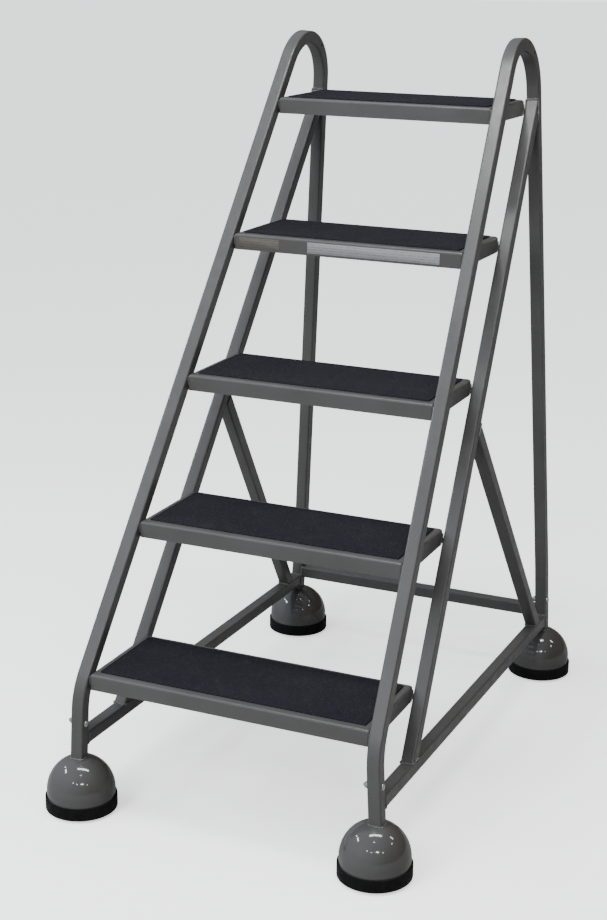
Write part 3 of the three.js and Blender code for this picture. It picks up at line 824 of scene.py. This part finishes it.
def caster_stem(corner, end, side):
    pairs = [
        (0, 52.4), (8, 52.4), (8, 55.4), (5, 55.4), (5, 60.0), (13, 60.0), (13, 65.0), (5, 65.0),
        (5, 117.3), (7, 117.3), (7, 124.0), (4, 124.0), (4, 150.0), (0, 150.0),
    ]
    profile = softened([(r * MM, z * MM) for r, z in pairs], 0.5 * MM, 2)
    piece(f"caster_stem_{corner}_turned", lathe(profile, 48), "zinc_steel", body=f"stem_{corner}",
          replaces=[f"caster_stem_{corner}"], matrix=foot_place(end, side))


def caster_spring(corner, end, side):
    """A coil of round wire with closed ends."""
    low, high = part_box(f"caster_spring_{corner}")
    wire, coil, turns, per_turn = 0.9 * MM, 5.6 * MM, 9, 28
    bottom, top = low.z + wire, high.z - wire
    stations = []
    count = turns * per_turn
    for k in range(count + 1):
        t = k / count
        angle = 2 * math.pi * turns * t
        climb = min(1, max(0, (t - 0.07) / 0.86))
        point = Vector((coil * math.cos(angle), coil * math.sin(angle), bottom + (top - bottom) * climb))
        stations.append(point)
    bm = bmesh.new()
    loops = []
    for k, point in enumerate(stations):
        angle = 2 * math.pi * turns * k / count
        out = Vector((math.cos(angle), math.sin(angle), 0))
        loops.append([
            bm.verts.new(point + wire * (out * math.cos(a) + Z_AXIS * math.sin(a)))
            for a in (2 * math.pi * j / 8 for j in range(8))
        ])
    skin(bm, loops)
    bm.faces.new(loops[0])
    bm.faces.new(loops[-1])
    bm.transform(foot_place(end, side))
    spring = piece(f"caster_spring_{corner}_coil", bm, "spring_steel", replaces=[f"caster_spring_{corner}"])
    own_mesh(spring)


def caster_place(end, side):
    """The fork trails towards the nearer end of the ladder."""
    return foot_place(end, side) @ Matrix.Rotation(0 if end > 0 else math.pi, 4, "Z")


def caster_fork(corner, end, side):
    """One pressing: a crown bent down into two tapered cheeks with round bosses."""
    inner, plate, crown_low, crown_top = 11.2 * MM, 2.5 * MM, 55.7 * MM, 59.7 * MM
    back, front, boss = -13 * MM, 15 * MM, 8 * MM
    bend = 3.2 * MM
    outline = [Vector((back, crown_top)), Vector((back, crown_low - 8 * MM))]
    for k in range(17):
        a = math.pi + math.pi * k / 16
        outline.append(Vector((TRAIL + boss * math.cos(a), WHEEL_RADIUS + boss * math.sin(a))))
    outline.append(Vector((front, crown_top)))
    def arch(offset, low_z):
        half = inner + plate - offset
        r = max(bend - offset, 0.6 * MM)
        top = crown_top - offset * (crown_top - crown_low) / plate
        pairs = [(-half, low_z)]
        for centre_x, start in ((-half + r, 180), (half - r, 90)):
            for k in range(6):
                a = math.radians(start - 90 * k / 5)
                pairs.append((centre_x + r * math.cos(a), top - r + r * math.sin(a)))
        pairs.append((half, low_z))
        return pairs
    bm = bmesh.new()
    outer_pairs, inner_pairs = arch(0, 10 * MM), arch(plate, 10 * MM)
    ring = outer_pairs + inner_pairs[::-1]
    ends = [[bm.verts.new((x, y, z)) for x, z in ring] for y in (back, TRAIL + boss + 1 * MM)]
    skin(bm, ends)
    bm.faces.new(ends[0])
    bm.faces.new(ends[1])
    # The cheeks' side view is cut from the arch: everything outside the outline goes.
    waste = bmesh.new()
    far = 0.08
    frame_outline = [Vector((-far, far)), Vector((-far, -far)), Vector((far, -far)), Vector((far, far))]
    near = [waste.verts.new((-far, p.x, p.y)) for p in outline]
    away = [waste.verts.new((far, p.x, p.y)) for p in outline]
    skin(waste, [near, away])
    waste.faces.new(near)
    waste.faces.new(away)
    big = bmesh.new()
    wide_near = [big.verts.new((-far / 2, p.x, p.y + 0.03)) for p in frame_outline]
    wide_away = [big.verts.new((far / 2, p.x, p.y + 0.03)) for p in frame_outline]
    skin(big, [wide_near, wide_away])
    big.faces.new(wide_near)
    big.faces.new(wide_away)
    shaped = carve(bm, carve(big, waste))
    hole = lathe([(0, 0.04), (5.5 * MM, 0.04), (5.5 * MM, 0.07), (0, 0.07)], 40)
    axle_hole = cylinder_x(TRAIL, WHEEL_RADIUS, 4.2 * MM, 0.03)
    piece(f"caster_fork_{corner}_pressed", carve(shaped, hole, axle_hole), "zinc_steel",
          body=f"fork_{corner}", replaces=[f"caster_fork_{corner}"], matrix=caster_place(end, side))


def caster_axle(corner, end, side):
    pairs = [(0, -17), (7, -17), (7, -14), (4, -14), (4, 14), (7, 14), (7, 17), (0, 17)]
    bm = lathe(softened([(r * MM, x * MM) for r, x in pairs], 0.9 * MM), 40, "X")
    bm.transform(Matrix.Translation((0, TRAIL, WHEEL_RADIUS)))
    piece(f"caster_axle_{corner}_riveted", bm, "zinc_steel", body=f"fork_{corner}",
          replaces=[f"caster_axle_{corner}"], matrix=caster_place(end, side))


def caster_wheel(corner, end, side):
    half = [(4.5, 10.6), (9, 10.6), (10, 8), (20, 8), (21.2, 9.5), (24.2, 9.5), (25.4, 7.5)]
    pairs = [(r, -x) for r, x in half] + half[::-1]
    bm = lathe(softened([(r * MM, x * MM) for r, x in pairs], 0.8 * MM), 80, "X")
    bm.transform(Matrix.Translation((0, TRAIL, WHEEL_RADIUS)))
    piece(f"caster_wheel_{corner}_moulded", bm, "wheel_plastic", body=f"wheel_{corner}",
          replaces=[f"caster_wheel_{corner}"], matrix=caster_place(end, side))


def retaining_bolt(corner, end, side):
    """A bolt through the leg, its low domed head on the ladder's right and its lock nut on the left."""
    pairs = [(0, -23.2), (2.4, -23.2), (3, -22.6)]
    # A thread of 1 mm pitch runs from the bolt's end to the leg.
    thread, thread_stop = -22.6, -13.4
    while thread < thread_stop:
        pairs += [(3.0, thread + 0.1), (2.62, thread + 0.5), (3.0, thread + 0.9)]
        thread += 1.0
    pairs += [(3, -12.5), (3, 13)]
    head = [(6.5, 13)]
    for k in range(9):
        a = math.pi / 2 * k / 8
        head.append((6.5 * math.cos(a) if k < 8 else 0, 13.4 + 3.2 * math.sin(a)))
    place = side_matrix(side) @ Matrix.Translation((0, end * FOOT_Y, BOLT_Z[end]))
    bm = lathe([(r * MM, x * MM) for r, x in pairs + head], 40, "X")
    piece(f"retaining_bolt_{corner}_plated", bm, "zinc_steel",
          replaces=[f"retaining_bolt_{corner}"], matrix=place)
    nut = bmesh.new()
    flat = 5.5 * MM
    # Stations along the nut: a bevelled hexagon, then the narrower collar of a lock nut.
    hexagon = [(-13.0, 0.5), (-13.5, 0), (-18.0, 0), (-18.6, 0.7)]
    collar = [(-19.0, 1.2), (-20.4, 1.3), (-21.0, 1.9)]
    loops = []
    for x, inset in hexagon + collar:
        radius = flat / math.cos(math.pi / 6) - inset * MM
        loops.append([
            nut.verts.new((x * MM, radius * math.cos(a), radius * math.sin(a)))
            for a in (math.pi / 3 * k for k in range(6))
        ])
    skin(nut, loops)
    nut.faces.new(loops[0])
    nut.faces.new(loops[-1])
    bm = carve(nut, cylinder_x(0, 0, 3.15 * MM, 0.03))
    piece(f"retaining_nut_{corner}_plated", bm, "zinc_steel",
          replaces=[f"retaining_nut_{corner}"], matrix=place)


# ---------------------------------------------------------------- assembly

for side_name, side_sign in SIDES:
    side_frame(side_name, side_sign)
    raked_rail(side_name, side_sign)
    base_tube(side_name, side_sign)
    brace(side_name, side_sign)
rear_cross_tube()
for tread in range(1, TREADS + 1):
    tread_pan(tread)
    tread_mat(tread)
    tread_welds(tread)
tread_labels()
FOOT_PARTS = (
    dome, bumper_ring, guide_bush, caster_stem, caster_spring, caster_fork, caster_axle, caster_wheel,
    retaining_bolt,
)
for build in FOOT_PARTS:
    for corner_name, end_sign, side_sign in CORNERS:
        build(corner_name, end_sign, side_sign)

# ---------------------------------------------------------------- floor and light


FLOOR_HALF_SIZE = 70  # metres: its far edge lies beyond the top of the picture
FLOOR_BOUNCE = 0.30  # the floor as a light source, like the dim hall round the real ladder
FLOOR_GLOW = 1.1  # extra paleness where the floor is seen directly


def add_floor():
    """Pale where it is seen directly. As a source of bounced light and reflections it is darker."""
    bm = bmesh.new()
    bmesh.ops.create_grid(bm, x_segments=1, y_segments=1, size=FLOOR_HALF_SIZE)
    mesh = bpy.data.meshes.new("floor")
    bm.to_mesh(mesh)
    bm.free()
    n = Nodes("floor")
    tint = n.mix(n.span(n.noise(0.8, 3), 0.3, 0.7, 0, 1), (0.90, 0.90, 0.90, 1), (0.93, 0.93, 0.925, 1))
    seen = n.add("ShaderNodeLightPath").outputs["Is Camera Ray"]
    n.drive(Base_Color=n.mix(seen, grey(FLOOR_BOUNCE, 0.02), tint))
    n.set(Roughness=0.8, Specular_IOR_Level=0.0, Emission_Color=grey(1.0))
    n.drive(Emission_Strength=n.span(seen, 0, 1, 0, FLOOR_GLOW))
    mesh.materials.append(n.material)
    floor = bpy.data.objects.new("floor", mesh)
    bpy.context.collection.objects.link(floor)


def add_key(place, target, size, power):
    """A near soft lamp, with no highlights. The front of the ladder gets most of it."""
    data = bpy.data.lights.new("key", "AREA")
    data.shape = "DISK"
    data.size = size
    data.energy = power
    data.color = (0.97, 0.985, 1.0)
    light = bpy.data.objects.new("key", data)
    light.location = place
    light.rotation_euler = (Vector(target) - Vector(place)).to_track_quat("-Z", "Y").to_euler()
    light.visible_glossy = False
    bpy.context.collection.objects.link(light)


STRIP_TARGET = Vector((0, -0.3, 0.1))
STRIP_ALONG = Vector((0.93, 0.36, 0))


def add_strip(name, place, width, depth, glow, colour=(1, 1, 1)):
    """A flat ceiling lamp that faces the feet. glow is its brightness per area."""
    data = bpy.data.lights.new(name, "AREA")
    data.shape = "RECTANGLE"
    data.size = width
    data.size_y = depth
    data.energy = glow * width * depth * math.pi
    data.color = colour
    light = bpy.data.objects.new(name, data)
    away = (Vector(place) - STRIP_TARGET).normalized()
    level = STRIP_ALONG
    level = (level - away * level.dot(away)).normalized()
    turn = Matrix((level, away.cross(level), away)).transposed().to_4x4()
    light.matrix_world = Matrix.Translation(place) @ turn
    bpy.context.collection.objects.link(light)


SKY_DIM_WARM = (0.10, 0.074, 0.042, 1)
SKY_BRIGHT_COOL = (0.64, 0.72, 0.82, 1)
SKY_SEEN = (2.1, 2.1, 2.1, 1)


def add_world():
    """Pale where it is seen. As light, cool from the upper left front, dim and warm from the lower right."""
    world = bpy.data.worlds.new("studio")
    world.use_nodes = True
    tree = world.node_tree
    background = tree.nodes["Background"]
    direction = tree.nodes.new("ShaderNodeTexCoord").outputs["Generated"]
    towards = tree.nodes.new("ShaderNodeVectorMath")
    towards.operation = "DOT_PRODUCT"
    towards.inputs[1].default_value = Vector((-0.62, -0.40, 0.68)).normalized()
    share = tree.nodes.new("ShaderNodeMapRange")
    share.inputs["From Min"].default_value = -0.2
    share.inputs["From Max"].default_value = 0.95
    mixes = []
    for first, second in ((SKY_DIM_WARM, SKY_BRIGHT_COOL), ((0, 0, 0, 1), SKY_SEEN)):
        mix = tree.nodes.new("ShaderNodeMix")
        mix.data_type = "RGBA"
        mix.inputs[6].default_value = first
        mix.inputs[7].default_value = second
        mixes.append(mix)
    light, seen = mixes
    tree.links.new(direction, towards.inputs[0])
    tree.links.new(towards.outputs["Value"], share.inputs["Value"])
    tree.links.new(share.outputs["Result"], light.inputs[0])
    tree.links.new(light.outputs[2], seen.inputs[6])
    tree.links.new(tree.nodes.new("ShaderNodeLightPath").outputs["Is Camera Ray"], seen.inputs[0])
    tree.links.new(seen.outputs[2], background.inputs["Color"])
    bpy.context.scene.world = world


def add_daylight(towards, strength, spread):
    """Broad even light from one side. It makes no highlights, which are left to the ceiling strips."""
    data = bpy.data.lights.new("daylight", "SUN")
    data.energy = strength
    data.angle = math.radians(spread)
    data.color = (0.97, 0.985, 1.0)
    light = bpy.data.objects.new("daylight", data)
    light.rotation_euler = Vector(towards).to_track_quat("-Z", "Y").to_euler()
    light.visible_glossy = False
    bpy.context.collection.objects.link(light)


add_floor()
add_world()
add_daylight((0.50, 0.85, -0.95), 1.3, 50)
add_key((-0.7, -2.4, 1.7), (0, 0, 0.7), 1.0, 42)
COOL, NEUTRAL, WARM = (0.86, 0.93, 1.0), (1.0, 1.0, 1.0), (1.0, 0.90, 0.76)
# Place, width, depth, brightness and tint of each strip.
CEILING_STRIPS = (
    ((0.25, -0.5, 3.5), 2.1, 0.36, 34, NEUTRAL),
    ((-2.6, -1.3, 2.6), 0.16, 0.80, 60, COOL),
    ((-2.9, -0.4, 2.4), 0.10, 0.40, 50, COOL),
    ((2.6, 1.1, 2.9), 0.60, 0.16, 42, NEUTRAL),
    ((3.0, 0.1, 2.4), 0.14, 0.30, 34, WARM),
    ((2.2, -4.0, 3.0), 0.80, 0.22, 60, NEUTRAL),
    ((0.8, -4.6, 2.9), 0.26, 0.20, 50, NEUTRAL),
    ((-0.4, -4.4, 2.9), 0.30, 0.18, 40, COOL),
    ((3.4, -3.0, 2.7), 0.24, 0.20, 42, WARM),
    ((0.6, -2.0, 3.6), 0.20, 0.20, 40, NEUTRAL),
)
for index, (place, width, depth, glow, colour) in enumerate(CEILING_STRIPS):
    add_strip(f"ceiling_{index}", place, width, depth, glow, colour)
